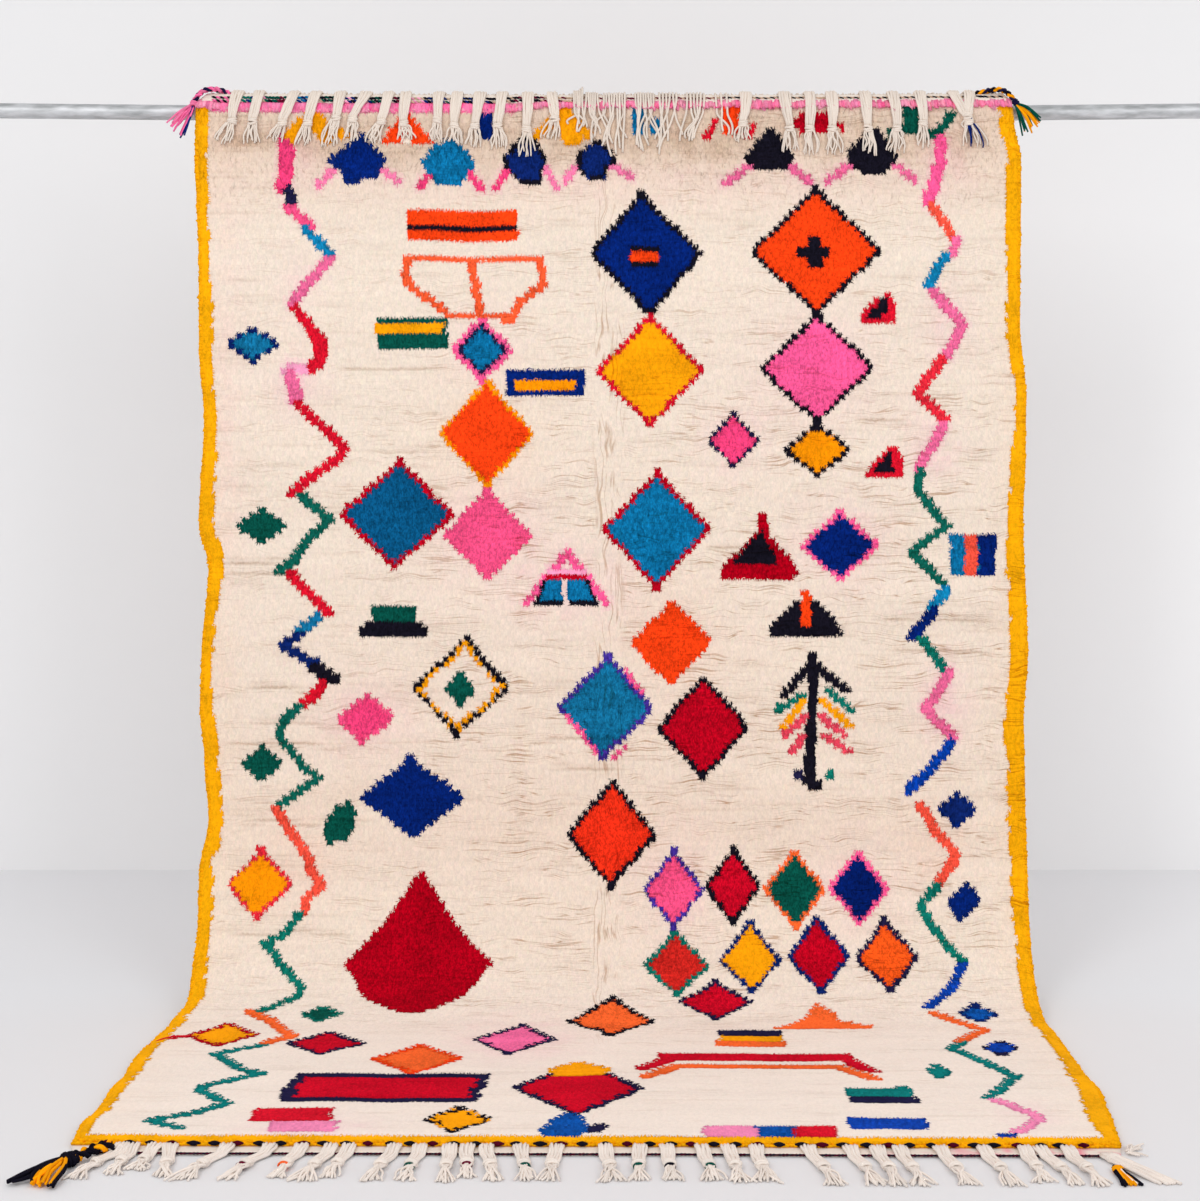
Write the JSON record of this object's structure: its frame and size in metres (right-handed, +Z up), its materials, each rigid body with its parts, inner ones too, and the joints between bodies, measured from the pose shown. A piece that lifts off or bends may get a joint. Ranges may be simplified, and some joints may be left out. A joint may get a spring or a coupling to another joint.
{
  "type": "azilal rug on a hanging rail",
  "caption": "Knotted wool rug with lozenge motifs, folded over a round rail by its fringed end and bending forward onto the floor, with fringe and plaited corners.",
  "frame": {"origin": "on the floor, under the middle of the part's box", "axes": "+X along the rail to the viewer's right, -Y towards the viewer and the rug's front end, +Z up"},
  "size_m": [2.5, 1.0749, 1.76],
  "materials": {
    "rail_steel": "galvanised tube, slightly mottled, satin",
    "wool_pile": "hand-knotted wool pile in cream with coloured motifs",
    "cotton_warp": "unbleached cotton yarn, knotted in bunches, with some dyed wool wraps",
    "yarn_pink": "pink and dark wool yarn, plaited",
    "yarn_gold": "yellow and dark wool yarn, plaited",
    "yarn_black": "black and yellow wool yarn, plaited"
  },
  "bodies": {
    "root": {"rail": "rail_steel", "rug": "wool_pile", "fringe_top": "cotton_warp", "fringe_floor": "cotton_warp", "plait_top_left": "yarn_pink", "plait_top_right": "yarn_gold", "plait_floor_left": "yarn_black", "bundle_floor_right": "cotton_warp", "tassel_floor_right": "yarn_gold"}
  },
  "joints": []
}
